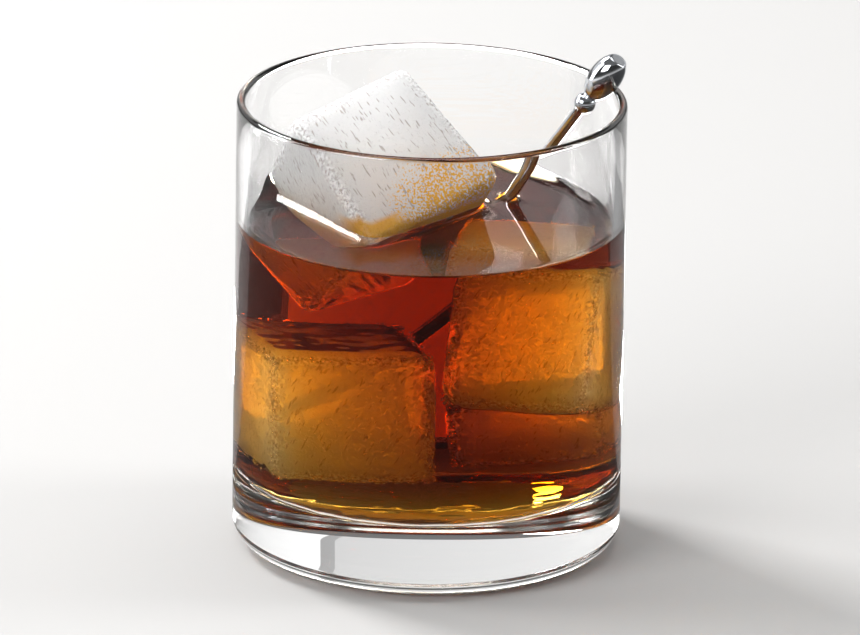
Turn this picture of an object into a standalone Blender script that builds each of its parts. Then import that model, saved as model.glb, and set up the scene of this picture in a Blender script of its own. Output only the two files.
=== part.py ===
"""A black russian in its glass.

A straight old-fashioned glass with a heavy clear base holds the dark drink. One large ice cube
stands out of the drink, and a steel cocktail pick leans across the rim with its tip near the
floor of the glass. The origin is the centre of the glass's foot, +Z runs up its axis.
"""

import math

import bmesh
import bpy
from mathutils import Euler, Vector

MM = 0.001

# Glass
GLASS_RADIUS = 43.0 * MM
GLASS_HEIGHT = 102.0 * MM
LIP_THICKNESS = 2.0 * MM
WALL_AT_FLOOR = 3.2 * MM
FLOOR_HEIGHT = 15.8 * MM
FLOOR_FILLET = 5.0 * MM
FOOT_CORNER_WIDTH = 7.0 * MM
FOOT_CORNER_HEIGHT = 6.0 * MM

# Drink
DRINK_LEVEL = 73.5 * MM
MENISCUS_RISE = 1.4 * MM
MENISCUS_WIDTH = 4.5 * MM
GAP = 0.3 * MM

# Ice cube: its axis is the local X direction, along which it widens from the tray's bottom
ICE_LENGTH = 35.0 * MM
ICE_WIDTH = 37.0 * MM
ICE_DEPTH = 29.4 * MM
ICE_TAPER = 0.134
ICE_EDGE = 2.6 * MM
ICE_CENTRE = Vector((-12.1, 9.7, 80.0)) * MM
ICE_TURN_DEG = (-161.7, 41.3, -41.1)

# Cocktail pick: lengths run from its tip along its axis
PICK_TIP = Vector((-17.4, 34.0, 19.7)) * MM
PICK_HEAD = Vector((38.0, 8.1, 105.2)) * MM
PICK_STEM_RADIUS = 1.24 * MM
PICK_POINT_RADIUS = 0.4 * MM
PICK_POINT_LENGTH = 9.0 * MM
PICK_BEAD_RADIUS = 2.4 * MM
PICK_HEAD_RADIUS = 3.65 * MM
PICK_HEAD_HALF_LENGTH = 6.5 * MM
PICK_HEAD_END_RADIUS = 1.95 * MM

# How finely the turned pieces and their rounded places are divided
GLASS_STEPS = 72
PICK_STEPS = 24
FILLET_STEPS = 6
LIP_STEPS = 8
FOOT_STEPS = 8
HEAD_STEPS = 14
BEAD_STEPS = 8
POINT_STEPS = 3
ICE_EDGE_STEPS = 4
MENISCUS_SHARES = (1.0, 0.7, 0.45, 0.22, 0.0)
MERGE_DISTANCE = 0.01 * MM


def clear_scene():
    for old in list(bpy.data.objects):
        bpy.data.objects.remove(old, do_unlink=True)


def new_collection(name):
    collection = bpy.data.collections.new(name)
    bpy.context.scene.collection.children.link(collection)
    return collection


def new_material(name, color, roughness, metallic=0.0, transmission=0.0, ior=1.45):
    material = bpy.data.materials.new(name)
    material.use_nodes = True
    shader = material.node_tree.nodes["Principled BSDF"]
    shader.inputs["Base Color"].default_value = (*color, 1.0)
    shader.inputs["Roughness"].default_value = roughness
    shader.inputs["Metallic"].default_value = metallic
    shader.inputs["Transmission Weight"].default_value = transmission
    shader.inputs["IOR"].default_value = ior
    return material


def add_object(name, mesh, collection, material=None):
    piece = bpy.data.objects.new(name, mesh)
    collection.objects.link(piece)
    if material:
        mesh.materials.append(material)
    return piece


def make_cutter(piece):
    piece.hide_render = True
    piece.display_type = "WIRE"
    return piece


def arc(centre, radii, start_deg, end_deg, steps):
    """Points of an ellipse's arc in the (radius, height) plane of a turned profile."""
    points = []
    for i in range(steps + 1):
        angle = math.radians(start_deg + (end_deg - start_deg) * i / steps)
        points.append((centre[0] + radii[0] * math.cos(angle), centre[1] + radii[1] * math.sin(angle)))
    return points


def turned(name, profile, steps, collection, material=None):
    """A solid of revolution about local Z; profile starts and ends on the axis, outer side downwards."""
    mesh = bpy.data.meshes.new(name)
    vertices = [(radius, 0.0, height) for radius, height in profile]
    edges = [(i, i + 1) for i in range(len(vertices) - 1)]
    mesh.from_pydata(vertices, edges, [])
    piece = add_object(name, mesh, collection, material)
    screw = piece.modifiers.new("Turn", "SCREW")
    screw.steps = steps
    screw.render_steps = steps
    screw.use_merge_vertices = True
    screw.merge_threshold = MERGE_DISTANCE
    screw.use_smooth_shade = True
    return piece


def cut(piece, cutter):
    boolean = piece.modifiers.new("Cut " + cutter.name, "BOOLEAN")
    boolean.operation = "DIFFERENCE"
    boolean.object = cutter


def inner_radius(height):
    """The glass's inner radius: the wall thins evenly from the floor to the lip."""
    share = (height - FLOOR_HEIGHT) / (GLASS_HEIGHT - FLOOR_HEIGHT)
    return GLASS_RADIUS - WALL_AT_FLOOR + (WALL_AT_FLOOR - LIP_THICKNESS) * share


def glass_profile():
    lip = LIP_THICKNESS / 2
    fillet_height = FLOOR_HEIGHT + FLOOR_FILLET
    fillet_centre = (inner_radius(fillet_height) - FLOOR_FILLET, fillet_height)
    foot_centre = (GLASS_RADIUS - FOOT_CORNER_WIDTH, FOOT_CORNER_HEIGHT)
    profile = [(0.0, FLOOR_HEIGHT)]
    profile += arc(fillet_centre, (FLOOR_FILLET, FLOOR_FILLET), -90, 0, FILLET_STEPS)
    profile += arc((GLASS_RADIUS - lip, GLASS_HEIGHT - lip), (lip, lip), 180, 0, LIP_STEPS)
    profile += arc(foot_centre, (FOOT_CORNER_WIDTH, FOOT_CORNER_HEIGHT), 0, -90, FOOT_STEPS)
    profile.append((0.0, 0.0))
    return profile


def meniscus_height(inset):
    """How far the drink climbs the glass at a distance inset from its own edge."""
    return MENISCUS_RISE * (1 - inset / MENISCUS_WIDTH) ** 2


def drink_profile():
    fillet = FLOOR_FILLET - GAP
    fillet_height = FLOOR_HEIGHT + FLOOR_FILLET
    fillet_centre = (inner_radius(fillet_height) - FLOOR_FILLET, fillet_height)
    edge = inner_radius(DRINK_LEVEL + MENISCUS_RISE) - GAP
    profile = [(0.0, DRINK_LEVEL)]
    for share in MENISCUS_SHARES:
        inset = share * MENISCUS_WIDTH
        profile.append((edge - inset, DRINK_LEVEL + meniscus_height(inset)))
    profile += arc(fillet_centre, (fillet, fillet), 0, -90, FILLET_STEPS)
    profile.append((0.0, FLOOR_HEIGHT + GAP))
    return profile


def ice_block(name, offset, collection, material=None):
    """A tapered block with rounded edges, each face moved out by offset."""
    block = bmesh.new()
    bmesh.ops.create_cube(block, size=1.0)
    for vertex in block.verts:
        side = 1.0 - ICE_TAPER * (0.5 - vertex.co.x)
        vertex.co.x *= ICE_LENGTH + 2 * offset
        vertex.co.y *= ICE_WIDTH * side + 2 * offset
        vertex.co.z *= ICE_DEPTH * side + 2 * offset
    mesh = bpy.data.meshes.new(name)
    block.to_mesh(mesh)
    block.free()
    mesh.shade_smooth()
    piece = add_object(name, mesh, collection, material)
    piece.location = ICE_CENTRE
    piece.rotation_euler = Euler([math.radians(a) for a in ICE_TURN_DEG])
    bevel = piece.modifiers.new("Melted edges", "BEVEL")
    bevel.width = ICE_EDGE + offset
    bevel.segments = ICE_EDGE_STEPS
    bevel.limit_method = "NONE"
    return piece


def stand_along(piece, start, end):
    """Puts a piece's local Z axis on the line from start to end, its origin at start."""
    piece.location = start
    piece.rotation_euler = (end - start).to_track_quat("Z", "X").to_euler()


def pick_profile():
    """Rounded head with a flat end, a bead close under it, then the stem and its point."""
    neck = PICK_STEM_RADIUS
    head = (PICK_HEAD - PICK_TIP).length
    head_end_deg = math.degrees(math.acos(PICK_HEAD_END_RADIUS / PICK_HEAD_RADIUS))
    head_neck_deg = math.degrees(math.acos(neck / PICK_HEAD_RADIUS))
    bead_neck_deg = math.degrees(math.acos(neck / PICK_BEAD_RADIUS))
    neck_height = head - PICK_HEAD_HALF_LENGTH * math.sin(math.radians(head_neck_deg))
    bead = neck_height - PICK_BEAD_RADIUS * math.sin(math.radians(bead_neck_deg))
    head_radii = (PICK_HEAD_RADIUS, PICK_HEAD_HALF_LENGTH)
    bead_radii = (PICK_BEAD_RADIUS, PICK_BEAD_RADIUS)
    profile = [(0.0, head + PICK_HEAD_HALF_LENGTH * math.sin(math.radians(head_end_deg)))]
    profile += arc((0.0, head), head_radii, head_end_deg, -head_neck_deg, HEAD_STEPS)
    profile += arc((0.0, bead), bead_radii, bead_neck_deg, -bead_neck_deg, BEAD_STEPS)[1:]
    profile.append((neck, PICK_POINT_LENGTH))
    point = PICK_POINT_RADIUS
    profile += arc((0.0, point), (point, point), 0, -90, POINT_STEPS)[:-1]
    profile.append((0.0, 0.0))
    return profile


def make_glass(collection):
    clear = new_material("clear_glass", (0.95, 0.97, 0.97), 0.02, transmission=1.0, ior=1.5)
    turned("glass", glass_profile(), GLASS_STEPS, collection, clear)


def make_ice(collection):
    frosty = new_material("ice", (0.86, 0.86, 0.84), 0.15, transmission=0.8, ior=1.31)
    ice_block("ice_top", 0.0, collection, frosty)


def make_pick(collection):
    steel = new_material("polished_steel", (0.62, 0.61, 0.60), 0.12, metallic=1.0)
    pick = turned("pick", pick_profile(), PICK_STEPS, collection, steel)
    stand_along(pick, PICK_TIP, PICK_HEAD)


def make_drink(parts, cutters):
    coffee = new_material("coffee_drink", (0.10, 0.03, 0.01), 0.05, transmission=0.3, ior=1.35)
    drink = turned("drink", drink_profile(), GLASS_STEPS, parts, coffee)
    cut(drink, make_cutter(ice_block("ice_room", GAP, cutters)))
    stem_room_radius = PICK_STEM_RADIUS + GAP
    stem_length = (PICK_HEAD - PICK_TIP).length
    side = [(stem_room_radius, stem_length), (stem_room_radius, -GAP)]
    stem_profile = [(0.0, stem_length), *side, (0.0, -GAP)]
    stem_room = turned("pick_room", stem_profile, PICK_STEPS, cutters)
    stand_along(stem_room, PICK_TIP, PICK_HEAD)
    cut(drink, make_cutter(stem_room))


clear_scene()
parts = new_collection("black_russian")
cutters = new_collection("cutters")
make_glass(parts)
make_ice(parts)
make_pick(parts)
make_drink(parts, cutters)
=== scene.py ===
"""A black russian, dressed: clear glass, coffee-dark drink, melting ice cubes and a steel pick.

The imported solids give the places. Each operator turns one solid into the finished piece, or adds
what the solids leave out: the ice that is sunk in the drink, its bubbles and the studio.
"""

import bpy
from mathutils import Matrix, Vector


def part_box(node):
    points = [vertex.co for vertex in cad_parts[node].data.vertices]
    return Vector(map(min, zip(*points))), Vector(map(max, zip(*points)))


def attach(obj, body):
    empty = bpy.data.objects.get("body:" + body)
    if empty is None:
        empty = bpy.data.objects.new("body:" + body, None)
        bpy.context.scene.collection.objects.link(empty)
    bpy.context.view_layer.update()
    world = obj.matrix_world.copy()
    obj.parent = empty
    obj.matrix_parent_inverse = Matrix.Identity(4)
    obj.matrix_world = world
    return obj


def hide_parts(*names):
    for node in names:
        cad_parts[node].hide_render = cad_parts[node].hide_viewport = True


bl_info = {
    "name": "Black Russian",
    "version": (1, 0, 0),
    "blender": (4, 5, 0),
    "location": "View3D > Sidebar > Drink",
    "description": "Finishes a short drink on ice in its glass",
    "category": "Object",
}

import math

import bmesh
import bpy
import numpy as np
from bpy.props import FloatProperty, FloatVectorProperty, IntProperty, PointerProperty
from mathutils import Euler, Matrix, Vector, noise
from mathutils.bvhtree import BVHTree

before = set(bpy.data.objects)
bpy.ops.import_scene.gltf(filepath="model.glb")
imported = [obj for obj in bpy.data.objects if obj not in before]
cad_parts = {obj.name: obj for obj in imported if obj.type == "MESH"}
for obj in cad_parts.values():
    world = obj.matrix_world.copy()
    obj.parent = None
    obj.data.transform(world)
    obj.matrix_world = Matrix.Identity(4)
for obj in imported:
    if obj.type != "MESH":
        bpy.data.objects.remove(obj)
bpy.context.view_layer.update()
GLASS_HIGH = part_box("glass")[1]
BODY = "root"
MM = 0.001

# Interfaces: each is the ratio of the indices on its two sides. Where ice and drink meet, the
# drink's face bends the light and the ice's own face doesn't.
GLASS_IN_AIR = 1.5
ICE_IN_AIR = 1.31
ICE_IN_DRINK = 1.0
DRINK_ON_ICE = 1.345 / 1.31
GLASS_ON_DRINK = 1.5 / 1.31
SKIN_IN_AIR = 1.345 / DRINK_ON_ICE

# The drink reaches LAP into the glass; a HAIR keeps surfaces apart that would else coincide
LAP = 0.1 * MM
HAIR = 0.02 * MM

# How fast the drink's climb at the ice, in the gap beside it and at the pick dies away, and how
# far it climbs at the pick
ICE_DECAY = 1.8 * MM
GAP_DECAY = 3.0 * MM
PICK_DECAY = 0.8 * MM
PICK_CLIMB = 1.0 * MM

TURN_STEPS = 288
TOP_RINGS = 110
CUBE_CELLS = 60

# From this share of the way out to a cube's edge, its faces count as near the edge
EDGE_BAND = 0.72


# ---------------------------------------------------------------- settings


class GlassSettings(bpy.types.PropertyGroup):
    radius: FloatProperty(
        name="Radius", description="Outside of the wall", default=GLASS_HIGH.x, unit="LENGTH"
    )
    height: FloatProperty(
        name="Height", description="Table to lip", default=GLASS_HIGH.z, unit="LENGTH"
    )
    lip: FloatProperty(
        name="Lip", description="Wall thickness at the lip", default=2.0 * MM, unit="LENGTH"
    )
    wall: FloatProperty(
        name="Wall", description="Wall thickness at the floor", default=3.2 * MM, unit="LENGTH"
    )
    floor: FloatProperty(
        name="Floor", description="Thickness of the base", default=15.8 * MM, unit="LENGTH"
    )
    fillet: FloatProperty(
        name="Fillet", description="Inner corner at the floor", default=5.0 * MM, unit="LENGTH"
    )
    foot_width: FloatProperty(
        name="Foot width", description="Rounded foot corner", default=7.0 * MM, unit="LENGTH"
    )
    foot_height: FloatProperty(
        name="Foot height", description="Rounded foot corner", default=6.0 * MM, unit="LENGTH"
    )
    punt: FloatProperty(
        name="Punt", description="Hollow under the foot", default=0.15 * MM, unit="LENGTH"
    )


class DrinkSettings(bpy.types.PropertyGroup):
    level: FloatProperty(
        name="Level", description="Height of the flat surface", default=73.5 * MM, unit="LENGTH"
    )
    wall_rise: FloatProperty(
        name="Climb at glass", description="Meniscus height", default=1.4 * MM, unit="LENGTH"
    )
    wall_reach: FloatProperty(
        name="Reach at glass", description="Meniscus width", default=4.5 * MM, unit="LENGTH"
    )
    ice_rise: FloatProperty(
        name="Climb at ice", description="Meniscus height", default=2.4 * MM, unit="LENGTH"
    )
    gap_rise: FloatProperty(
        name="Climb in gap", description="Between ice and glass", default=7.4 * MM, unit="LENGTH"
    )
    absorption: FloatVectorProperty(
        name="Absorption", description="Per metre: red, green, blue", default=(32.0, 72.0, 205.0)
    )


class IceSettings(bpy.types.PropertyGroup):
    edge: FloatProperty(
        name="Melted edge", description="Radius of the edges", default=2.6 * MM, unit="LENGTH"
    )
    waviness: FloatProperty(
        name="Waviness", description="How uneven the melted faces are", default=0.3 * MM,
        unit="LENGTH",
    )
    tint: FloatVectorProperty(
        name="Tint", description="Colour of the clear ice", default=(0.92, 0.92, 0.915),
        subtype="COLOR",
    )
    # Gold of the dry ice: its wet film just above the drink, and painted light through the drink
    # higher up
    wet_and_glow_gold: FloatVectorProperty(
        name="Stain", description="Colour of the ice that the drink wets",
        default=(0.62, 0.31, 0.012), subtype="COLOR",
    )
    frost: FloatProperty(
        name="Frost", description="Roughness of the melted faces", default=0.12, subtype="FACTOR"
    )
    rime: FloatProperty(
        name="Rime", description="Share of white frost along the dry edges", default=0.4,
        subtype="FACTOR",
    )
    sunk_rime: FloatProperty(
        name="Sunk rime", description="The same along the sunk edges", default=0.12,
        subtype="FACTOR",
    )
    haze: FloatProperty(
        name="Haze", description="Cloudiness: scatterings per metre", default=70.0
    )
    cloud: FloatProperty(name="Cloud", description="The same in the top cube", default=60.0)
    streaks: IntProperty(name="Streaks", description="Streak bubbles in a cube", default=1400)
    beads: IntProperty(name="Beads", description="Round bubbles near the edges", default=2200)


class PickSettings(bpy.types.PropertyGroup):
    steel: FloatVectorProperty(
        name="Steel", description="Colour of the steel", default=(0.58, 0.6, 0.63),
        subtype="COLOR",
    )
    polish: FloatProperty(
        name="Roughness", description="Of the polished steel", default=0.09, subtype="FACTOR"
    )


class StudioSettings(bpy.types.PropertyGroup):
    paper: FloatVectorProperty(
        name="Paper", description="Colour of floor and backdrop", default=(0.44, 0.435, 0.43),
        subtype="COLOR",
    )
    wall_paper: FloatVectorProperty(
        name="Wall paper", description="Colour of the backdrop higher up",
        default=(0.2, 0.195, 0.19), subtype="COLOR",
    )
    sky: FloatProperty(name="Fill", description="Radiance of the room", default=0.2)
    key: FloatProperty(name="Key", description="Radiance of the box overhead", default=3.0)
    front: FloatProperty(name="Front", description="Radiance of the box in front", default=10.0)
    side: FloatProperty(name="Sides", description="Radiance of the side boxes", default=7.0)
    window: FloatProperty(name="Window", description="Radiance of the small box", default=50.0)
    table: FloatProperty(name="Table", description="Radiance of the lit table behind", default=18.0)
    # pad and backdrop are painted light: the paper glows of itself under the glass and in two panels
    # at the back
    pad: FloatProperty(name="Pad", description="Radiance of the lit table underneath", default=0.8)
    backdrop: FloatProperty(
        name="Backdrop", description="Radiance of the lit backdrop", default=0.75
    )


# ---------------------------------------------------------------- materials


# How much of the light goes clear through the ice's faces; they scatter the rest
DRY_CLEAR = 0.45
SUNK_TOP_CLEAR = 0.6
SUNK_CLEAR = 0.8

STREAK_GREY = (0.42, 0.34, 0.3, 1.0)
FROST_WHITE = (0.95, 0.95, 0.95, 1.0)
STREAK_STRETCH = (5.0, 1.0, 1.0)

# The backdrop's painted light, a glow of the paper itself: where its two panels part, as the slope of
# the line from the glass to there
PANEL_GAP = 0.364
SECOND_PANEL = 0.445
PEAK_GLOW = 2.0


class Wire:
    """A node's output that works in a Python expression; each operator adds a Math node."""

    def __init__(self, tree, socket):
        self.tree = tree
        self.socket = socket

    def math(self, operation, *values):
        node = self.tree.nodes.new("ShaderNodeMath")
        node.operation = operation
        for place, value in enumerate(values):
            plug(self.tree, node.inputs[place], value)
        return Wire(self.tree, node.outputs[0])

    def __add__(self, other):
        return self.math("ADD", self, other)

    __radd__ = __add__

    def __sub__(self, other):
        return self.math("SUBTRACT", self, other)

    def __rsub__(self, other):
        return self.math("SUBTRACT", other, self)

    def __mul__(self, other):
        return self.math("MULTIPLY", self, other)

    __rmul__ = __mul__

    def __truediv__(self, other):
        return self.math("DIVIDE", self, other)

    def __rtruediv__(self, other):
        return self.math("DIVIDE", other, self)

    def larger(self, other):
        return self.math("MAXIMUM", self, other)

    def over(self, limit):
        """1 where the value is over the limit, else 0."""
        return self.math("GREATER_THAN", self, limit)

    def smooth(self, low, high):
        """0 below low, 1 above high, eased between; low may be the larger one."""
        node = self.tree.nodes.new("ShaderNodeMapRange")
        node.interpolation_type = "SMOOTHSTEP"
        plug(self.tree, node.inputs["Value"], self)
        node.inputs["From Min"].default_value = low
        node.inputs["From Max"].default_value = high
        return Wire(self.tree, node.outputs["Result"])


def plug(tree, socket, value):
    if isinstance(value, Wire):
        tree.links.new(value.socket, socket)
    else:
        socket.default_value = value


class Finish:
    """A material and its node tree."""

    def __init__(self, name):
        self.material = bpy.data.materials.new(name)
        self.material.use_nodes = True
        self.tree = self.material.node_tree
        self.tree.nodes.clear()
        self.end = self.tree.nodes.new("ShaderNodeOutputMaterial")

    def node(self, kind, settings=None, sockets=None, output=0):
        """Adds a node: settings first, then the values or wires of its sockets."""
        node = self.tree.nodes.new(kind)
        for name, value in (settings or {}).items():
            setattr(node, name, value)
        for name, value in (sockets or {}).items():
            plug(self.tree, node.inputs[name], value)
        return Wire(self.tree, node.outputs[output])

    def place(self):
        return self.node("ShaderNodeTexCoord", output="Object")

    def attribute(self, name):
        return self.node("ShaderNodeAttribute", {"attribute_name": name}, output="Fac")

    def noise(self, scale, detail=2.0, roughness=0.5, vector=None):
        sockets = {"Scale": scale, "Detail": detail, "Roughness": roughness}
        sockets["Vector"] = vector or self.place()
        return self.node("ShaderNodeTexNoise", {}, sockets)

    def mix(self, share, first, second):
        """Mixes two colours; 6 and 7 are a Mix node's colour sockets."""
        sockets = {"Factor": share, 6: first, 7: second}
        return self.node("ShaderNodeMix", {"data_type": "RGBA"}, sockets, output=2)

    def bump(self, height, distance, strength=1.0):
        sockets = {"Height": height, "Distance": distance, "Strength": strength}
        return self.node("ShaderNodeBump", {}, sockets)

    def shader(self, **sockets):
        named = {name.replace("_", " "): value for name, value in sockets.items()}
        return self.node("ShaderNodeBsdfPrincipled", {}, named)

    def blend(self, share, first, second):
        """One shader over another, by share."""
        return self.node("ShaderNodeMixShader", {}, {0: share, 1: first, 2: second})

    def show(self, shader):
        self.tree.links.new(shader.socket, self.end.inputs["Surface"])

    def surface(self, **sockets):
        self.show(self.shader(**sockets))

    def haze(self, density):
        """Scatters light, mostly onwards, as tiny bubbles do."""
        sockets = {"Color": (1.0, 1.0, 1.0, 1.0), "Density": density, "Anisotropy": 0.85}
        volume = self.node("ShaderNodeVolumeScatter", {}, sockets)
        self.tree.links.new(volume.socket, self.end.inputs["Volume"])

    def absorb(self, per_metre):
        """Soaks up light along its way through the piece."""
        density = max(per_metre) * 1.1
        color = [1.0 - share / density for share in per_metre]
        sockets = {"Color": (*color, 1.0), "Density": density}
        volume = self.node("ShaderNodeVolumeAbsorption", {}, sockets)
        self.tree.links.new(volume.socket, self.end.inputs["Volume"])


def glass_finish(name, ior, scale=45.0, depth=0.025 * MM):
    """Clear glass with faint waves, scale of them to a metre."""
    finish = Finish(name)
    ripple = finish.noise(scale, 1.0)
    finish.surface(
        Base_Color=(1.0, 1.0, 1.0, 1.0), Roughness=0.0, IOR=ior, Transmission_Weight=1.0,
        Normal=finish.bump(ripple, depth),
    )
    return finish.material


def drink_finish(settings):
    finish = Finish("coffee_drink")
    finish.surface(
        Base_Color=(1.0, 1.0, 1.0, 1.0), Roughness=0.0, IOR=DRINK_ON_ICE,
        Transmission_Weight=1.0,
    )
    finish.absorb(settings.absorption)
    return finish.material


def drink_skin_finish():
    finish = Finish("drink_skin")
    ripple = finish.noise(120.0, 1.0)
    finish.surface(
        Base_Color=(1.0, 1.0, 1.0, 1.0), Roughness=0.0, IOR=SKIN_IN_AIR, Transmission_Weight=1.0,
        Normal=finish.bump(ripple, 0.05 * MM, 0.3),
    )
    return finish.material


def wet_and_glow_share(finish, place):
    """Gold on the dry ice: a line just above the drink's surface, partly the drink's wet film and
    partly painted light that comes through the drink, and grains higher up, which are painted light.
    """
    above = finish.attribute("above")
    across = finish.node("ShaderNodeSeparateXYZ", {}, {"Vector": place})
    line = above.smooth(4.6 * MM, 2.4 * MM) * across.smooth(-22 * MM, -16 * MM)
    region = above.smooth(17 * MM, 6 * MM) * across.smooth(-13 * MM, 4 * MM)
    sparkle = finish.noise(2300.0, 1.0, 0.5, place) + 0.22 * region
    glow_grains = sparkle.smooth(0.62, 0.68) * region.smooth(0.02, 0.25)
    return line.larger(glow_grains) * 0.95


def ice_finish(name, settings, ior, clear, haze, rime, turn, wet_and_glowing=False):
    """Melted ice: clear or milky, with pits, thin streaks along the turned X axis, and frost and
    dark grains along the edges. The dry cube is also gold above the drink: partly its wet film,
    partly painted light that comes through the drink."""
    finish = Finish(name)
    place = finish.place()
    edge = finish.attribute("edge")
    mottle = finish.noise(90.0, 4.0, 0.6, place)
    grains = finish.noise(1600.0, 1.0, 0.5, place)
    pits = finish.noise(1400.0, 2.0, 0.5, place).smooth(0.5, 0.72)
    stretched = finish.node(
        "ShaderNodeMapping", {"vector_type": "TEXTURE"},
        {"Vector": place, "Rotation": turn, "Scale": STREAK_STRETCH},
    )
    streaks = finish.noise(1700.0, 1.0, 0.5, stretched).smooth(0.64, 0.69)
    roughness = settings.frost * (0.5 + mottle) + 0.2 * edge * mottle
    height = finish.noise(260.0, 3.0, 0.5, place) + pits * (0.3 + 1.6 * edge) - streaks * 0.5
    dark = streaks.larger(edge.smooth(0.1, 0.8) * grains.smooth(0.44, 0.36))
    soft = {
        "IOR": ior,
        "Subsurface_Weight": 1.0,
        "Subsurface_Radius": (1.0, 1.0, 1.0),
        "Normal": finish.bump(height, 0.35 * MM, 0.8),
    }
    look = finish.shader(
        Base_Color=finish.mix(dark * 0.65, (*settings.tint, 1.0), STREAK_GREY),
        Roughness=roughness, Transmission_Weight=clear, Subsurface_Scale=0.02, **soft,
    )
    white = finish.shader(Base_Color=FROST_WHITE, Roughness=0.5, Subsurface_Scale=0.01, **soft)
    crust = (edge * 1.1 + (mottle - 0.5) * 0.9).smooth(0.1, 0.8)
    look = finish.blend(crust * grains.smooth(0.5, 0.6) * rime, look, white)
    # Painted light: gold where light through the drink would show, beside the drink's wet film
    if wet_and_glowing:
        gold = finish.shader(
            Base_Color=(*settings.wet_and_glow_gold, 1.0), Roughness=0.2, Subsurface_Scale=0.001, **soft
        )
        look = finish.blend(wet_and_glow_share(finish, place), look, gold)
    finish.show(look)
    finish.haze(haze)
    return finish.material


def bubble_finish():
    finish = Finish("ice_bubble")
    finish.surface(
        Base_Color=(1.0, 1.0, 1.0, 1.0), Roughness=0.0, IOR=ICE_IN_AIR, Transmission_Weight=1.0
    )
    return finish.material


def steel_finish(settings):
    finish = Finish("polished_steel")
    smear = finish.noise(300.0, 3.0)
    color = finish.mix(smear, (*settings.steel, 1.0), (*[0.85 * c for c in settings.steel], 1.0))
    finish.surface(
        Base_Color=color, Metallic=1.0, Roughness=settings.polish * (0.6 + smear * 0.8)
    )
    return finish.material


def paper_finish(settings):
    """Pale on the floor, grey higher up, with painted light where the paper glows of itself: two
    panels at the back and a patch under the glass.
    """
    finish = Finish("paper")
    grain = finish.noise(900.0, 3.0)
    across, along, height = (
        finish.node("ShaderNodeSeparateXYZ", {}, {"Vector": finish.place()}, output=axis)
        for axis in range(3)
    )
    color = finish.mix(
        height.smooth(0.1, 0.8), (*settings.paper, 1.0), (*settings.wall_paper, 1.0)
    )
    # Painted light: the paper glows in two panels at the back and in a patch under the glass's foot
    bearing = across / along.larger(0.01)
    first = 1.0 - 0.25 * bearing - bearing.over(PANEL_GAP) * 0.35
    panels = first + bearing.over(SECOND_PANEL) * 0.9
    share = panels * along.smooth(0.0, 1.5) * height.smooth(0.6, 1.2)
    glass = bpy.context.scene.drink_glass
    foot = glass.radius - glass.foot_width
    from_axis = across * across + along * along
    under = from_axis.smooth((foot + 1.0 * MM) ** 2, (foot - 1.0 * MM) ** 2)
    lit = share * (settings.backdrop / PEAK_GLOW) + under * (settings.pad / PEAK_GLOW)
    painted_glow = finish.mix(lit, (0.0, 0.0, 0.0, 1.0), (1.0, 1.0, 1.0, 1.0))
    finish.surface(
        Base_Color=color, Roughness=0.7, Specular_IOR_Level=0.0,
        Normal=finish.bump(grain, 0.02 * MM), Emission_Color=painted_glow, Emission_Strength=PEAK_GLOW,
    )
    return finish.material


def lamp_finish(name, radiance):
    finish = Finish(name)
    finish.surface(
        Base_Color=(0.0, 0.0, 0.0, 1.0), Roughness=1.0, Specular_IOR_Level=0.0,
        Emission_Color=(1.0, 1.0, 1.0, 1.0), Emission_Strength=radiance,
    )
    return finish.material


# ---------------------------------------------------------------- shapes


def add_piece(name, mesh, materials, replaced=None):
    """Links a finished mesh with its materials, hangs it on the body and hides the solid it replaces.
    """
    piece = bpy.data.objects.new(name, mesh)
    bpy.context.collection.objects.link(piece)
    for material in materials:
        mesh.materials.append(material)
    mesh.shade_smooth()
    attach(piece, BODY)
    if replaced:
        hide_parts(replaced)
    return piece


def arc(centre, radii, start_deg, end_deg, steps):
    """Points of an ellipse's arc in the (radius, height) plane of a turned shape."""
    points = []
    for i in range(steps + 1):
        angle = math.radians(start_deg + (end_deg - start_deg) * i / steps)
        out, up = radii[0] * math.cos(angle), radii[1] * math.sin(angle)
        points.append((centre[0] + out, centre[1] + up))
    return points


def circle(radius, height, steps=TURN_STEPS):
    """A ring of points; radius and height are numbers or one value for each step."""
    angle = np.arange(steps) * (2 * math.pi / steps)
    ring = np.empty((steps, 3))
    ring[:, 0] = radius * np.cos(angle)
    ring[:, 1] = radius * np.sin(angle)
    ring[:, 2] = height
    return ring


def skin_rings(name, rings, first_pole, last_pole, slot_of_band):
    """A closed mesh over rings of points, from first_pole to last_pole."""
    steps = len(rings[0])
    points = np.vstack([[first_pole], *rings, [last_pole]])
    last = len(points) - 1
    faces, slots = [], []
    for k in range(steps):
        after = (k + 1) % steps
        faces.append((0, 1 + k, 1 + after))
        slots.append(slot_of_band(0))
        for band in range(len(rings) - 1):
            low = 1 + band * steps
            faces.append((low + k, low + steps + k, low + steps + after, low + after))
            slots.append(slot_of_band(band + 1))
        low = last - steps
        faces.append((low + k, last, low + after))
        slots.append(slot_of_band(len(rings)))
    mesh = bpy.data.meshes.new(name)
    mesh.from_pydata(points.tolist(), [], faces)
    mesh.polygons.foreach_set("material_index", slots)
    face_outwards(mesh)
    return mesh


def face_outwards(mesh):
    block = bmesh.new()
    block.from_mesh(mesh)
    if block.calc_volume(signed=True) < 0:
        mesh.flip_normals()
    block.free()


def cup_radius(height):
    """The glass's inner radius: the wall thins evenly from the floor to the lip."""
    glass = bpy.context.scene.drink_glass
    share = (height - glass.floor) / (glass.height - glass.floor)
    return glass.radius - glass.wall + (glass.wall - glass.lip) * share


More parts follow.
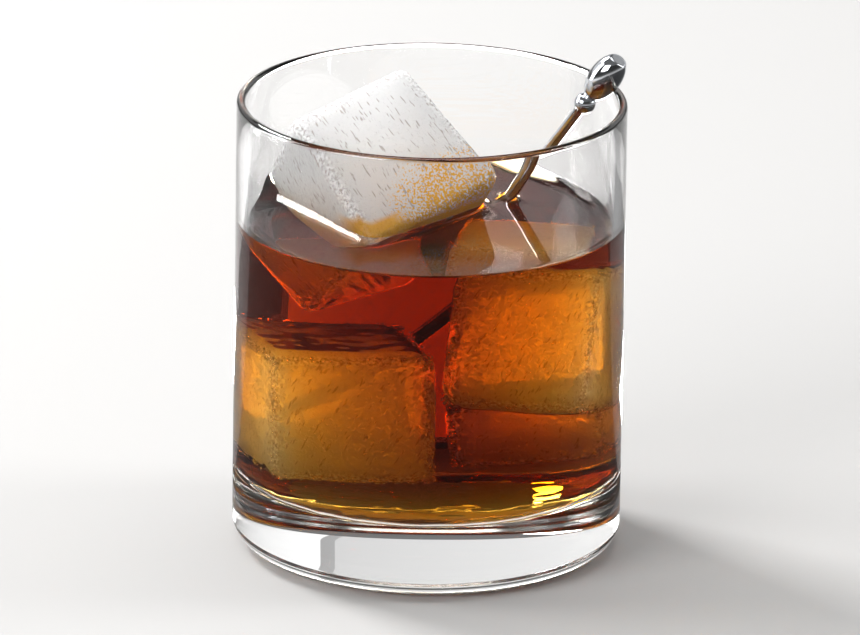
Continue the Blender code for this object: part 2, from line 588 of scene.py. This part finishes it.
class Cube:
    """One ice cube: a tapered block with melted edges, in its own axes."""

    def __init__(self, centre, turn_deg, size, taper, seed, melt=1.0):
        self.turn = Euler([math.radians(a) for a in turn_deg])
        self.matrix = Matrix.Translation(Vector(centre) * MM) @ self.turn.to_matrix().to_4x4()
        self.size = Vector(size) * MM
        self.taper = taper
        self.seed = seed
        self.melt = melt

    def side(self, along):
        return 1.0 - self.taper * (0.5 - along / self.size.x)

    def shape(self, ice, cells):
        """A bmesh of the block in its own axes, with how near each vertex is to an edge."""
        block = bmesh.new()
        near_edge = block.verts.layers.float.new("edge")
        bmesh.ops.create_cube(block, size=1.0)
        bmesh.ops.subdivide_edges(block, edges=block.edges, cuts=cells, use_grid_fill=True)
        half = self.size / 2
        edge = ice.edge * self.melt
        inner = Vector([h - edge for h in half])
        shift = Vector((17.3, 5.1, 9.7)) * self.seed
        for vertex in block.verts:
            share = sorted(abs(2 * c) for c in vertex.co)[1]
            band = (share - EDGE_BAND) / (1.0 - EDGE_BAND)
            vertex[near_edge] = min(max(band, 0.0), 1.0) ** 1.5
            full = Vector([2 * c * h for c, h in zip(vertex.co, half)])
            core = Vector([min(max(f, -i), i) for f, i in zip(full, inner)])
            out = full - core
            out.normalize()
            point = core + out * edge
            side = self.side(point.x)
            point.y *= side
            point.z *= side
            slow = noise.noise(point * 70 + shift)
            fast = noise.noise(point * 260 + shift)
            point += out * ice.waviness * self.melt * (0.75 * slow + 0.25 * fast - 0.5)
            vertex.co = point
        return block


# Centre in mm, turn in degrees, size in mm, taper, seed, and how far melted beside the top cube
CUBES = {
    "ice_top": Cube((-12.1, 9.7, 80.0), (-161.7, 41.3, -41.1), (35.0, 37.0, 29.4), 0.134, 1),
    "ice_left": Cube((-17.8, -1.6, 35.0), (-1.4, -0.9, 8.0), (35.6, 38.0, 31.4), 0.05, 2, 2.2),
    "ice_right": Cube((20.3, -3.7, 50.5), (-14.0, 3.5, -6.0), (32.8, 33.0, 33.6), 0.05, 3, 2.2),
    "ice_low": Cube((15.6, 18.6, 26.2), (2.0, -3.0, -3.0), (26.0, 22.0, 17.0), 0.05, 4, 2.0),
}

# The turn of the sunk cubes' streaks, in radians
SUNK_STREAKS = (0.0, -1.05, 0.35)


class Surface:
    """Height of the drink: its level, and what it climbs at the glass, the ice and the pick."""

    def __init__(self, drink, ice_tree, pick_tree):
        self.drink = drink
        self.ice_tree = ice_tree
        self.pick_tree = pick_tree

    def height(self, x, y):
        drink = self.drink
        inset = max(cup_radius(drink.level) - math.hypot(x, y), 0.0)
        wall = drink.wall_rise * max(1.0 - inset / drink.wall_reach, 0.0) ** 2
        here = Vector((x, y, drink.level + wall))
        ice_gap = self.ice_tree.find_nearest(here)[3]
        pick_gap = self.pick_tree.find_nearest(here)[3]
        ice = drink.ice_rise * math.exp(-ice_gap / ICE_DECAY)
        pick = PICK_CLIMB * math.exp(-pick_gap / PICK_DECAY)
        both = drink.gap_rise * math.exp(-((inset + ice_gap) / GAP_DECAY) ** 2)
        return drink.level + wall + ice + pick + both


def to_mesh(name, block):
    mesh = bpy.data.meshes.new(name)
    block.to_mesh(mesh)
    return mesh


def pushed(block, distance):
    """A copy of a bmesh with each vertex moved out along its normal."""
    copy = block.copy()
    copy.normal_update()
    for vertex in copy.verts:
        vertex.co += vertex.normal * distance
    return copy


def cut_out(mesh, cutters):
    """mesh without the closed cutters, as a new mesh."""
    worked = bpy.data.objects.new("worked", mesh)
    bpy.context.collection.objects.link(worked)
    helpers = []
    for cutter in cutters:
        helper = bpy.data.objects.new("cutter", cutter)
        bpy.context.collection.objects.link(helper)
        helpers.append(helper)
        boolean = worked.modifiers.new("Cut", "BOOLEAN")
        boolean.operation = "DIFFERENCE"
        boolean.solver = "MANIFOLD"
        boolean.object = helper
    seen = worked.evaluated_get(bpy.context.evaluated_depsgraph_get())
    made = bpy.data.meshes.new_from_object(seen)
    for helper in [worked, *helpers]:
        bpy.data.objects.remove(helper)
    return made


PICK_TIP = Vector((-17.4, 34.0, 19.7)) * MM
PICK_HEAD = Vector((38.0, 8.1, 105.2)) * MM
PICK_STEM_RADIUS = 1.24 * MM
PICK_POINT_RADIUS = 0.4 * MM
PICK_POINT_LENGTH = 9.0 * MM
PICK_BEAD_RADIUS = 2.4 * MM
PICK_HEAD_RADIUS = 3.65 * MM
PICK_HEAD_HALF_LENGTH = 6.5 * MM
PICK_HEAD_END_RADIUS = 1.95 * MM
PICK_END_FLAT_RADIUS = 1.6 * MM
PICK_STEPS = 64


def pick_profile():
    """Head, bead, stem and point as radius and distance from the tip; also the two end heights."""
    neck, half = PICK_STEM_RADIUS, PICK_HEAD_HALF_LENGTH
    head_radius, bead_radius, point = PICK_HEAD_RADIUS, PICK_BEAD_RADIUS, PICK_POINT_RADIUS
    head = (PICK_HEAD - PICK_TIP).length
    end_deg = math.degrees(math.acos(PICK_HEAD_END_RADIUS / head_radius))
    head_neck_deg = math.degrees(math.acos(neck / head_radius))
    bead_neck_deg = math.degrees(math.acos(neck / bead_radius))
    bead = head - half * math.sin(math.radians(head_neck_deg))
    bead -= bead_radius * math.sin(math.radians(bead_neck_deg))
    flat = head + half * math.sin(math.radians(end_deg))
    stem = bead - PICK_POINT_LENGTH
    profile = [(PICK_END_FLAT_RADIUS, flat)]
    profile += arc((0.0, head), (head_radius, half), end_deg, -head_neck_deg, 40)
    profile += arc((0.0, bead), (bead_radius, bead_radius), bead_neck_deg, -bead_neck_deg, 24)[1:]
    profile += [(neck, PICK_POINT_LENGTH + stem * share) for share in (0.75, 0.5, 0.25, 0.0)]
    profile += arc((0.0, point), (point, point), 0, -80, 6)
    return profile, flat, 0.0


def pick_mesh(name, grown=0.0):
    """The pick in its place, each face moved out by grown."""
    profile, top, tip = pick_profile()
    rings = [circle(radius + grown, height, PICK_STEPS) for radius, height in profile]
    poles = [(0.0, 0.0, top + grown), (0.0, 0.0, tip - grown)]
    mesh = skin_rings(name, rings, poles[0], poles[1], lambda band: 0)
    turn = (PICK_HEAD - PICK_TIP).to_track_quat("Z", "X").to_matrix().to_4x4()
    mesh.transform(Matrix.Translation(PICK_TIP) @ turn)
    return mesh


def tree_of(mesh):
    """A mesh made ready for finding the nearest point on it."""
    block = bmesh.new()
    block.from_mesh(mesh)
    tree = BVHTree.FromBMesh(block)
    block.free()
    return tree


def glass_rings(contact):
    """Rings from the inner floor over the lip to the foot, and how many bands are wet."""
    glass = bpy.context.scene.drink_glass
    turn_height = glass.floor + glass.fillet
    centre = (cup_radius(turn_height) - glass.fillet, turn_height)
    lip = glass.lip / 2
    rings = [circle(r, glass.floor) for r in np.linspace(4 * MM, centre[0], 8)[:-1]]
    rings += [circle(r, z) for r, z in arc(centre, (glass.fillet,) * 2, -90, 0, 20)]
    for share in np.linspace(0, 1, 25)[1:]:
        z = turn_height + (contact - turn_height) * share
        rings.append(circle(cup_radius(z), z))
    wet = len(rings)
    for share in np.linspace(0, 1, 9)[1:-1]:
        z = contact + (glass.height - lip - contact) * share
        rings.append(circle(cup_radius(z), z))
    lip_centre = (glass.radius - lip, glass.height - lip)
    rings += [circle(r, z) for r, z in arc(lip_centre, (lip, lip), 180, 0, 24)]
    foot = (glass.radius - glass.foot_width, glass.foot_height)
    for z in np.linspace(glass.height - lip, glass.foot_height, 12)[1:-1]:
        rings.append(circle(glass.radius, z))
    rings += [circle(r, z) for r, z in arc(foot, (glass.foot_width, glass.foot_height), 0, -90, 24)]
    for share in np.linspace(0, 1, 13)[1:-1]:
        rings.append(circle(foot[0] * (1 - share), glass.punt * (1 - (1 - share) ** 2) ** 2))
    return rings, wet


def contact_line(surface):
    """Height at which the drink touches the glass, for each step round it."""
    drink = surface.drink
    radius = cup_radius(drink.level)
    line = []
    for k in range(TURN_STEPS):
        angle = 2 * math.pi * k / TURN_STEPS
        line.append(surface.height(radius * math.cos(angle), radius * math.sin(angle)))
    return np.array(line)


def drink_rings(surface):
    """Rings from the middle of the surface down to the middle of the floor, and how many of them
    are the surface."""
    glass = bpy.context.scene.drink_glass
    contact = contact_line(surface)
    rings = []
    angles = np.arange(TURN_STEPS) * (2 * math.pi / TURN_STEPS)
    edge = cup_radius(contact)
    for share in np.linspace(0, 1, TOP_RINGS + 1)[1:]:
        radius = edge * (1 - (1 - share) ** 1.5)
        x, y = radius * np.cos(angles), radius * np.sin(angles)
        ring = circle(radius, [surface.height(a, b) for a, b in zip(x, y)])
        rings.append(ring)
    rings.append(circle(edge + LAP, rings[-1][:, 2]))
    top = len(rings)
    turn_height = glass.floor + glass.fillet
    for share in np.linspace(0, 1, 25)[1:-1]:
        z = contact + (turn_height - contact) * share
        rings.append(circle(cup_radius(z) + LAP, z))
    centre = (cup_radius(turn_height) - glass.fillet, turn_height)
    around = (glass.fillet + LAP,) * 2
    rings += [circle(r, z) for r, z in arc(centre, around, 0, -90, 20)]
    low = glass.floor - LAP
    rings += [circle(r, low) for r in np.linspace(centre[0], 4 * MM, 8)[1:]]
    return rings, top


def split_at_surface(block, surface):
    """Cuts a bmesh in world axes along the drink's surface; faces below it get slot 1."""
    above = block.verts.layers.float.new("above")
    for vertex in block.verts:
        vertex[above] = vertex.co.z - surface.height(vertex.co.x, vertex.co.y)
    crossing = [e for e in block.edges if e.verts[0][above] * e.verts[1][above] < 0]
    made = []
    for edge in crossing:
        first, second = edge.verts
        share = first[above] / (first[above] - second[above])
        vertex = bmesh.utils.edge_split(edge, first, share)[1]
        vertex[above] = 0.0
        made.append(vertex)
    bmesh.ops.connect_verts(block, verts=made)
    for face in block.faces:
        if sum(v[above] for v in face.verts) < 0:
            face.material_index = 1


def from_lowest(corners):
    """A face's corners in their own direction, counted from the lowest."""
    start = corners.index(min(corners))
    return corners[start:] + corners[:start]


def bubble_shape(steps=6, bands=4):
    """Vertices and faces of a small ball of radius one; sorting lists them the same way each time."""
    block = bmesh.new()
    bmesh.ops.create_uvsphere(block, u_segments=steps, v_segments=bands, radius=1.0)
    points = np.array([v.co[:] for v in block.verts])
    bmesh.ops.triangulate(block, faces=block.faces)
    faces = sorted(from_lowest([v.index for v in f.verts]) for f in block.faces)
    block.free()
    return points, np.array(faces)


def many(name, frames):
    """One mesh of many bubbles; each frame is a centre and three half axes."""
    points, faces = bubble_shape()
    frames = np.array(frames)
    axes, centres = frames[:, :3], frames[:, 3]
    all_points = np.einsum("pa,nac->npc", points, axes) + centres[:, None]
    starts = (np.arange(len(frames)) * len(points))[:, None, None]
    all_faces = faces[None] + starts
    mesh = bpy.data.meshes.new(name)
    mesh.from_pydata(all_points.reshape(-1, 3).tolist(), [], all_faces.reshape(-1, 3).tolist())
    return mesh


def axes_along(direction, length, width):
    """Three half axes of a bubble stretched along a direction."""
    turn = direction.to_track_quat("Z", "X").to_matrix()
    return [turn.col[0] * width, turn.col[1] * width, turn.col[2] * length]


# Bubbles, in mm: a streak's half length and half width, and a bead's radius; then how far a
# streak strays from the fan, and how closely beads keep to the edges
STREAK_LENGTHS = (0.4, 1.2)
STREAK_WIDTHS = (0.09, 0.2)
BEAD_RADII = (0.12, 0.4)
STREAK_SPREAD = 0.15
BEAD_SPREAD = 0.11


def bubble_frames(cube, ice, chance):
    """Streaks that fan out from the middle, and beads that crowd the edges."""
    frames = []
    half = cube.size / 2 - Vector((1.0, 1.0, 1.0)) * MM
    heart = Vector((-0.2 * cube.size.x, 0.0, 0.0))
    for _ in range(ice.streaks):
        spot = Vector([h * chance.uniform(-1, 1) for h in half])
        side = cube.side(spot.x)
        spot.y *= side
        spot.z *= side
        direction = (spot - heart).normalized()
        direction += Vector(chance.normal(0, STREAK_SPREAD, 3))
        length = chance.uniform(*STREAK_LENGTHS) * MM
        width = chance.uniform(*STREAK_WIDTHS) * MM
        frames.append([*axes_along(direction, length, width), spot])
    for _ in range(ice.beads):
        spot = [chance.uniform(-1, 1) for _ in range(3)]
        along = chance.integers(0, 3)
        for axis in range(3):
            if axis != along:
                inset = abs(chance.normal(0, BEAD_SPREAD))
                spot[axis] = math.copysign(1 - inset, spot[axis])
        spot = Vector([h * s for h, s in zip(half, spot)])
        side = cube.side(spot.x)
        spot.y *= side
        spot.z *= side
        size = chance.uniform(*BEAD_RADII) * MM
        frames.append([*axes_along(Vector(chance.normal(0, 1, 3)), size, size), spot])
    return frames


# ---------------------------------------------------------------- operators


class BuiltParts:
    """Shapes that several operators need, made once."""

    cubes = {}
    surface = None

    @classmethod
    def prepare(cls):
        scene = bpy.context.scene
        cls.cubes = {}
        for name, cube in CUBES.items():
            cls.cubes[name] = cube.shape(scene.drink_ice, CUBE_CELLS)
        top = cls.cubes["ice_top"].copy()
        top.transform(CUBES["ice_top"].matrix)
        pick = tree_of(pick_mesh("pick_probe"))
        cls.surface = Surface(scene.drink_liquid, BVHTree.FromBMesh(top), pick)
        top.free()


class DRINK_OT_glass(bpy.types.Operator):
    """Turn the glass finely, with the index of its wet wall matched to the drink"""

    bl_idname = "drink.glass"
    bl_label = "Glass"

    def execute(self, context):
        surface = BuiltParts.surface
        rings, wet = glass_rings(contact_line(surface))
        glass = context.scene.drink_glass
        mesh = skin_rings(
            "glass_clear", rings, (0.0, 0.0, glass.floor), (0.0, 0.0, glass.punt),
            lambda band: 1 if band < wet else 0,
        )
        for polygon in mesh.polygons:
            if polygon.material_index == 1 and polygon.center.z < glass.floor + glass.fillet:
                polygon.material_index = 2
        clear = glass_finish("clear_glass", GLASS_IN_AIR)
        wetted = glass_finish("wet_glass", GLASS_ON_DRINK)
        pressed = glass_finish("pressed_floor", GLASS_ON_DRINK, scale=120.0, depth=0.5 * MM)
        add_piece("glass_clear", mesh, [clear, wetted, pressed], "glass")
        return {"FINISHED"}


def rooms():
    """What the drink is cut round: each cube and the pick, a hair larger."""
    cutters = []
    for name, cube in CUBES.items():
        cutter = to_mesh(name + "_room", pushed(BuiltParts.cubes[name], HAIR))
        cutter.transform(cube.matrix)
        cutters.append(cutter)
    return [*cutters, pick_mesh("pick_room", HAIR)]


def skin_of(body):
    """The drink's surface as a sheet of its own, a hair above the body; its faces have slot 1."""
    skin = bmesh.new()
    skin.from_mesh(body)
    lower = [face for face in skin.faces if face.material_index != 1]
    bmesh.ops.delete(skin, geom=lower, context="FACES")
    for vertex in skin.verts:
        vertex.co.z += HAIR
    return to_mesh("drink_skin", skin)


class DRINK_OT_liquid(bpy.types.Operator):
    """Pour the drink round the ice and the pick, and lay its surface on it"""

    bl_idname = "drink.liquid"
    bl_label = "Drink"

    def execute(self, context):
        surface = BuiltParts.surface
        rings, top = drink_rings(surface)
        glass = context.scene.drink_glass
        whole = skin_rings(
            "whole", rings, (0.0, 0.0, surface.height(0.0, 0.0)), (0.0, 0.0, glass.floor - LAP),
            lambda band: 1 if band < top else 0,
        )
        finishes = [drink_finish(context.scene.drink_liquid), drink_skin_finish()]
        for material in finishes:
            whole.materials.append(material)
        body = cut_out(whole, rooms())
        sheet = skin_of(body)
        for mesh in (body, sheet):
            for polygon in mesh.polygons:
                polygon.material_index = 0
            mesh.materials.clear()
        add_piece("drink_body", body, finishes[:1], "drink")
        add_piece("drink_skin", sheet, finishes[1:])
        return {"FINISHED"}


class DRINK_OT_ice(bpy.types.Operator):
    """Put in the ice: one cube that stands out of the drink, and those that are sunk in it"""

    bl_idname = "drink.ice"
    bl_label = "Ice"

    def execute(self, context):
        ice = context.scene.drink_ice
        turn = CUBES["ice_top"].turn
        dry = ice_finish("ice", ice, ICE_IN_AIR, DRY_CLEAR, ice.cloud, ice.rime, turn, True)
        sunk_top = ice_finish(
            "sunk_ice_top", ice, ICE_IN_DRINK, SUNK_TOP_CLEAR, ice.cloud, ice.sunk_rime, turn
        )
        sunk = ice_finish(
            "sunk_ice", ice, ICE_IN_DRINK, SUNK_CLEAR, ice.haze, ice.sunk_rime, SUNK_STREAKS
        )
        bubble = bubble_finish()
        for name, cube in CUBES.items():
            stands_out = name == "ice_top"
            block = BuiltParts.cubes[name].copy()
            if stands_out:
                block.transform(cube.matrix)
                split_at_surface(block, BuiltParts.surface)
                block.transform(cube.matrix.inverted())
            mesh = to_mesh(name, block)
            mesh.transform(cube.matrix)
            if stands_out:
                add_piece("ice_top_cube", mesh, [dry, sunk_top], "ice_top")
            else:
                add_piece(name, mesh, [sunk])
            chance = np.random.default_rng(cube.seed)
            bubbles = many(name + "_bubbles", bubble_frames(cube, ice, chance))
            bubbles.transform(cube.matrix)
            add_piece(name + "_bubbles", bubbles, [bubble])
        return {"FINISHED"}


class DRINK_OT_pick(bpy.types.Operator):
    """Turn the steel pick finely and polish it"""

    bl_idname = "drink.pick"
    bl_label = "Cocktail pick"

    def execute(self, context):
        steel = steel_finish(context.scene.drink_pick)
        add_piece("pick_steel", pick_mesh("pick_steel"), [steel], "pick")
        return {"FINISHED"}


def soft_box(name, radiance, size, place, target):
    """A rectangular lamp at place that faces target."""
    light = bpy.data.lights.new(name, "AREA")
    light.shape = "RECTANGLE"
    light.size, light.size_y = size
    light.energy = radiance * size[0] * size[1] * math.pi
    box = bpy.data.objects.new(name, light)
    bpy.context.collection.objects.link(box)
    box.location = place
    box.rotation_euler = (Vector(target) - Vector(place)).to_track_quat("-Z", "Y").to_euler()


def board_finish(name, grey):
    finish = Finish(name)
    finish.surface(Base_Color=(grey, grey, grey, 1.0), Roughness=0.9)
    return finish.material


def add_board(name, points, faces, material):
    """A sheet on the table that only glass, ice and steel see: a lamp if lit, else painted shade."""
    mesh = bpy.data.meshes.new(name)
    mesh.from_pydata(points, [], faces)
    mesh.materials.append(material)
    board = bpy.data.objects.new(name, mesh)
    bpy.context.collection.objects.link(board)
    board.visible_camera = board.visible_shadow = board.visible_diffuse = False


# The lit table behind the glass, whose light the drink bends towards the front: each patch's share
# of the table's radiance and its outline, in mm
TABLE_PATCHES = (
    ("lit_table_right", 1.0, [(8, 77), (8, 158), (46, 152), (80, 97), (71, 91), (34, 72)]),
    ("lit_table_left", 1.1, [
        (-8, 79), (-34, 74), (-30, 85), (-60, 117), (-86, 146), (-68, 163), (-40, 182), (-8, 195),
    ]),
    ("lit_table_dim", 0.17, [
        (-8, 79), (-8, 243), (50, 232), (77, 215), (67, 195), (46, 152), (8, 158), (8, 77),
    ]),
)

# Outlines of the grey sheets beside the lit table, painted shade that only the glass sees, in mm
GREY_SHADE_SHEETS = {
    "grey_shade_left": [(-47, 32), (-42, 85), (-60, 106), (-130, 175), (-270, 189)],
    "grey_shade_right": [
        (47, 32), (50, 60), (52, 78), (82, 90), (84, 99), (52, 152), (73, 195), (83, 217),
        (160, 230), (270, 189),
    ],
}

# Dark sheets in arcs round the glass: painted shade on its left, a painted shadow just behind it,
# and in the ring the foot's painted shadow. Start and sweep in degrees, inner and outer radius in mm
BLACK_SHADE_SHEETS = {"black_shade_sheet": (145, 250, 58.0, 450.0), "shadow_strip_behind": (30, 120, 58.0, 71.0)}
FOOT_SHADOW_RING = (0, 360, 43.5, 60.0)

LIT_HEIGHT = 0.3 * MM
GREY_HEIGHT = 0.4 * MM
BLACK_HEIGHT = 0.5 * MM
RING_HEIGHT = 0.6 * MM


def flat_board(name, outline, height, material):
    """A board from its outline in mm."""
    points = [(x * MM, y * MM, height) for x, y in outline]
    add_board(name, points, [tuple(range(len(points)))], material)


def curved_board(name, sizes, height, material, steps):
    """A board between two arcs round the glass."""
    start, sweep, inner, outer = sizes
    turns = [math.radians(start + sweep * k / steps) for k in range(steps + 1)]
    points = []
    for radius in (inner * MM, outer * MM):
        points += [(radius * math.cos(turn), radius * math.sin(turn), height) for turn in turns]
    after = steps + 1
    faces = [(k, k + 1, after + k + 1, after + k) for k in range(steps)]
    add_board(name, points, faces, material)


def add_boards(settings):
    """The lit table, and painted shade that only the glass sees: grey sheets beside the table, a grey
    ring as the foot's painted shadow, and black sheets round that.
    """
    for name, share, outline in TABLE_PATCHES:
        flat_board(name, outline, LIT_HEIGHT, lamp_finish(name, share * settings.table))
    grey = board_finish("grey_shade_sheet", 0.15)
    for name, outline in GREY_SHADE_SHEETS.items():
        flat_board(name, outline, GREY_HEIGHT, grey)
    # The grey ring is the foot's painted shadow
    curved_board("foot_shadow_ring", FOOT_SHADOW_RING, RING_HEIGHT, grey, 96)
    # Black sheets: painted shade beside the glass and a painted shadow just behind it
    black = board_finish("black_shade_sheet", 0.02)
    for name, sizes in BLACK_SHADE_SHEETS.items():
        curved_board(name, sizes, BLACK_HEIGHT, black, 60)


CAMERA_PLACE = Vector((0.0, -2.9, 1.0175))
CAMERA_TARGET = Vector((0.00023690825, 0.0, 0.0515655))
CAMERA_ROLL = 0.01505135
CAMERA_LENS = 579.35


def add_camera():
    """A long lens from a little above, rolled by under a degree."""
    ahead = (CAMERA_TARGET - CAMERA_PLACE).normalized()
    level = ahead.cross(Vector((0, 0, 1))).normalized()
    upright = level.cross(ahead)
    right = level * math.cos(CAMERA_ROLL) + upright * math.sin(CAMERA_ROLL)
    up = upright * math.cos(CAMERA_ROLL) - level * math.sin(CAMERA_ROLL)
    turn = Matrix((right, up, -ahead)).transposed().to_4x4()
    camera = bpy.data.objects.new("camera", bpy.data.cameras.new("camera"))
    camera.data.lens = CAMERA_LENS
    camera.data.sensor_width = 36.0
    camera.data.clip_start = 0.1
    camera.data.clip_end = 30.0
    camera.matrix_world = Matrix.Translation(CAMERA_PLACE) @ turn
    bpy.context.collection.objects.link(camera)
    bpy.context.scene.camera = camera


def add_sweep(settings):
    """Floor and backdrop in one: a wide bowl of paper, open at the top."""
    profile = [(r, 0.0) for r in (0.3, 1.0, 2.0, 3.0, 4.0, 5.0)]
    profile += arc((5.0, 1.5), (1.5, 1.5), -90, 0, 16)[1:]
    profile += [(6.5, 3.5)]
    rings = [circle(r, z, 96) for r, z in profile]
    mesh = skin_rings("sweep", rings, (0.0, 0.0, 0.0), (0.0, 0.0, 3.5), lambda band: 0)
    block = bmesh.new()
    block.from_mesh(mesh)
    block.verts.ensure_lookup_table()
    bmesh.ops.delete(block, geom=[block.verts[-1]], context="VERTS")
    bmesh.ops.reverse_faces(block, faces=block.faces)
    sweep = bpy.data.objects.new("sweep", to_mesh("sweep", block))
    sweep.data.shade_smooth()
    sweep.data.materials.append(paper_finish(settings))
    bpy.context.collection.objects.link(sweep)


def add_room(settings):
    """Even light from all round."""
    world = bpy.data.worlds.new("room")
    bpy.context.scene.world = world
    world.use_nodes = True
    background = world.node_tree.nodes["Background"]
    background.inputs["Color"].default_value = (1.0, 1.0, 1.0, 1.0)
    background.inputs["Strength"].default_value = settings.sky


# Soft boxes: the setting that is their radiance, size, place, and the spot they face, in metres
SOFT_BOXES = {
    "key_box": ("key", (1.4, 1.0), (0.0, 0.25, 1.7), (0, 0.05, 0)),
    "left_box": ("side", (0.45, 0.9), (-1.1, 0.15, 0.45), (0, 0, 0.06)),
    "right_box": ("side", (0.35, 1.0), (1.1, 0.1, 0.6), (0, 0, 0.06)),
    "window": ("window", (0.4, 0.4), (-0.81, 0.79, 0.98), (0, 0, 0.07)),
    "front_box": ("front", (0.9, 0.6), (-0.95, -1.0, 0.75), (0, 0, 0.07)),
}

# How far light is followed through glass, ice and drink
LIGHT_PATHS = {
    "sample_clamp_indirect": 30.0,
    "volume_bounces": 8,
    "max_bounces": 48,
    "transmission_bounces": 40,
    "glossy_bounces": 12,
    "diffuse_bounces": 4,
    "transparent_max_bounces": 32,
}


class DRINK_OT_studio(bpy.types.Operator):
    """Set up the pale sweep, the soft boxes and the camera"""

    bl_idname = "drink.studio"
    bl_label = "Studio"

    def execute(self, context):
        scene = context.scene
        studio = scene.drink_studio
        add_sweep(studio)
        for name, (setting, size, place, target) in SOFT_BOXES.items():
            soft_box(name, getattr(studio, setting), size, place, target)
        add_boards(studio)
        add_room(studio)
        add_camera()
        scene.view_settings.view_transform = "Standard"
        for name, value in LIGHT_PATHS.items():
            setattr(scene.cycles, name, value)
        return {"FINISHED"}


class DRINK_PT_panel(bpy.types.Panel):
    """The pieces and their sizes"""

    bl_label = "Black russian"
    bl_space_type = "VIEW_3D"
    bl_region_type = "UI"
    bl_category = "Drink"

    def draw(self, context):
        for operator in OPERATORS:
            self.layout.operator(operator.bl_idname)
        for name in SETTINGS:
            box = self.layout.box()
            group = getattr(context.scene, name)
            for field in group.__annotations__:
                box.prop(group, field)


SETTINGS = {
    "drink_glass": GlassSettings,
    "drink_liquid": DrinkSettings,
    "drink_ice": IceSettings,
    "drink_pick": PickSettings,
    "drink_studio": StudioSettings,
}
OPERATORS = (DRINK_OT_glass, DRINK_OT_liquid, DRINK_OT_ice, DRINK_OT_pick, DRINK_OT_studio)


def register():
    for name, group in SETTINGS.items():
        bpy.utils.register_class(group)
        setattr(bpy.types.Scene, name, PointerProperty(type=group))
    for operator in OPERATORS:
        bpy.utils.register_class(operator)
    bpy.utils.register_class(DRINK_PT_panel)


def unregister():
    bpy.utils.unregister_class(DRINK_PT_panel)
    for operator in reversed(OPERATORS):
        bpy.utils.unregister_class(operator)
    for name, group in SETTINGS.items():
        delattr(bpy.types.Scene, name)
        bpy.utils.unregister_class(group)


def main():
    register()
    BuiltParts.prepare()
    bpy.ops.drink.glass()
    bpy.ops.drink.liquid()
    bpy.ops.drink.ice()
    bpy.ops.drink.pick()
    bpy.ops.drink.studio()


if __name__ == "__main__":
    main()
